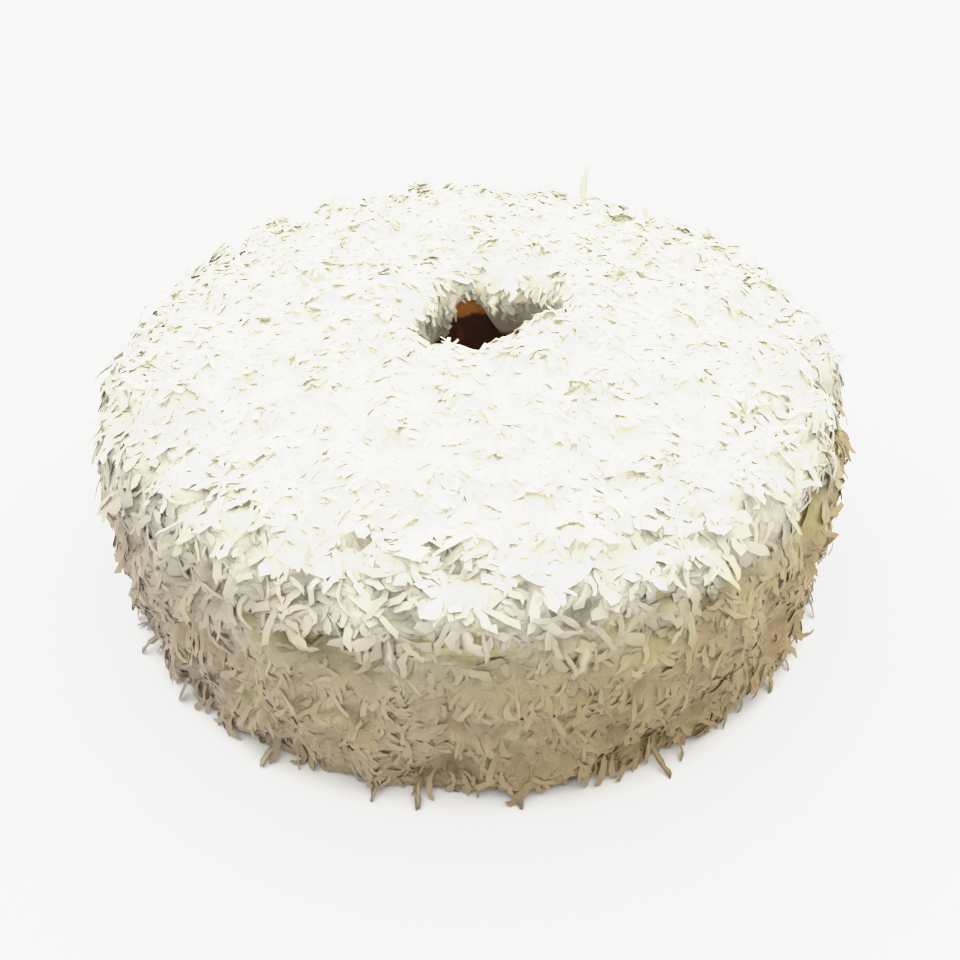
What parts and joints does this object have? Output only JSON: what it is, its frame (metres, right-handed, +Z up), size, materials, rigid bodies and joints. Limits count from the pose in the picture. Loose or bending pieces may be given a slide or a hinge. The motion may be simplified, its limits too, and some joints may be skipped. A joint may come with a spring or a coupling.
{
  "type": "coconut pound cake",
  "caption": "Ring-shaped pound cake with a round centre hole, iced and thickly coated in shredded coconut over its side, its top and the mouth of the hole.",
  "frame": {"origin": "middle of the whole cake's bounding box, on the flat base it stands on", "axes": "+Z up out of the top and along the centre hole; -Y towards the viewer, +X to the viewer's right"},
  "size_m": [0.2924, 0.2872, 0.109],
  "materials": {
    "browned_crust": "browned, dry and slightly rough baked crust",
    "moist_coconut": "moist white shredded coconut over cream icing, soft sheen"
  },
  "bodies": {
    "root": {"pound_cake": "browned_crust", "coconut_icing": "moist_coconut"}
  },
  "joints": []
}
